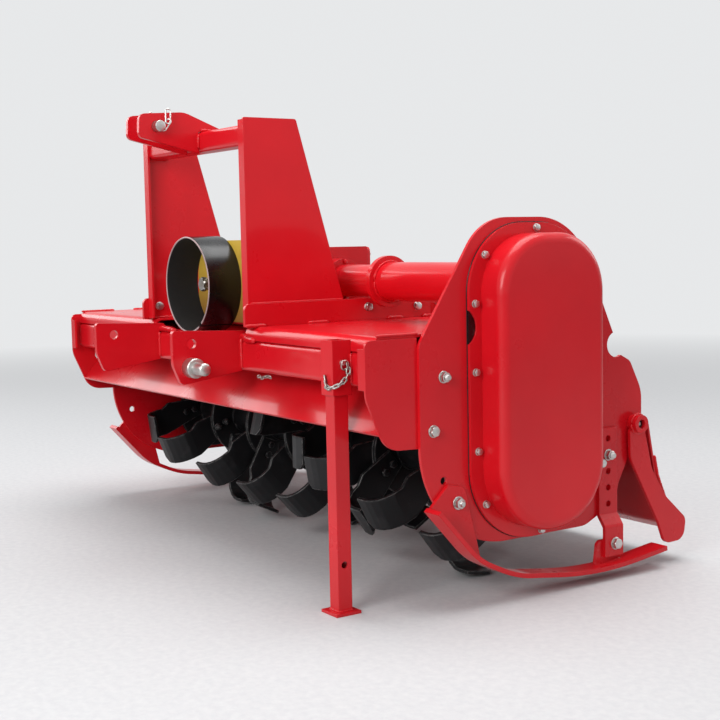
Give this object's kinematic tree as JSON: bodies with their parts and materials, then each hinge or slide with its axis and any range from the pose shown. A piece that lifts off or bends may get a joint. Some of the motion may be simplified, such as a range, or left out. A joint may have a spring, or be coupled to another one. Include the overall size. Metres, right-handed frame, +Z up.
{
  "type": "tractor-mounted rotavator",
  "caption": "Tractor-mounted rotavator with a sheet-steel hood, three-point headstock, side gear-case, hoe-blade rotor, depth skids, stand leg and hinged rear board.",
  "frame": {"origin": "middle of the machine's footprint, on the floor that the stand and the rotor rest on", "axes": "+X across the machine towards the side gear-case, -Y towards the tractor, +Z up; the rotor turns about X and the input shaft about Y"},
  "size_m": [1.638, 1.0073, 1.0473],
  "materials": {
    "red": "gloss signal-red paint on sheet steel",
    "cast_red": "gloss red paint on cast iron",
    "black": "satin black paint, blades bare at the edge",
    "black_guard": "satin black moulded sheet",
    "yellow": "yellow plastic",
    "steel": "zinc-plated steel",
    "bare_steel": "bare turned steel with grease"
  },
  "bodies": {
    "frame": {"bearing_housing": "cast_red", "clevis_ear_far": "red", "clevis_ear_near": "red", "cross_tube_far": "red", "cross_tube_near": "red", "crossbar": "red", "end_plate_far": "red", "end_plate_near": "red", "foot_bracket_far": "red", "foot_bracket_near": "red", "front_beam": "red", "front_deck": "red", "gear_case_cover": "red", "gear_case_flange": "red", "gearbox": "cast_red", "guard_plate": "yellow", "headstock_far": "red", "headstock_near": "red", "hitch_ear_far": "red", "hitch_ear_near": "red", "hitch_pin_far": "steel", "hitch_pin_near": "steel", "hood_shell": "red", "pivot_pin_far": "steel", "pivot_pin_near": "steel", "pto_guard": "black_guard", "side_plate_far": "red", "side_plate_near": "red", "skid_far": "red", "skid_near": "red", "stand_sleeve": "red", "strap_far": "red", "strap_near": "red", "top_link_pin": "steel", "tube_saddle_far": "red", "tube_saddle_near": "red"},
    "rotor": {"rotor": "black"},
    "input": {"input_shaft": "bare_steel"},
    "stand": {"stand_leg": "red"},
    "board": {"rear_board": "red", "board_arm_near": "red", "board_arm_far": "red"}
  },
  "joints": [
    {"name": "rotor_turn", "type": "hinge", "parent": "frame", "child": "rotor", "pos_m": [-0.013, 0.07335, 0.245], "axis": [1, 0, 0], "continuous": true},
    {"name": "input_turn", "type": "hinge", "parent": "frame", "child": "input", "pos_m": [-0.013, -0.22665, 0.647], "axis": [0, 1, 0], "continuous": true},
    {"name": "stand_slide", "type": "slide", "parent": "frame", "child": "stand", "axis": [0, 0, 1], "range_m": [0, 0.3]},
    {"name": "board_swing", "type": "hinge", "parent": "frame", "child": "board", "pos_m": [-0.013, 0.35135, 0.328], "axis": [1, 0, 0], "range_deg": [0, 42]}
  ],
  "couplings": [
    {"joint": "input_turn", "follows": "rotor_turn", "ratio": 2.57}
  ]
}
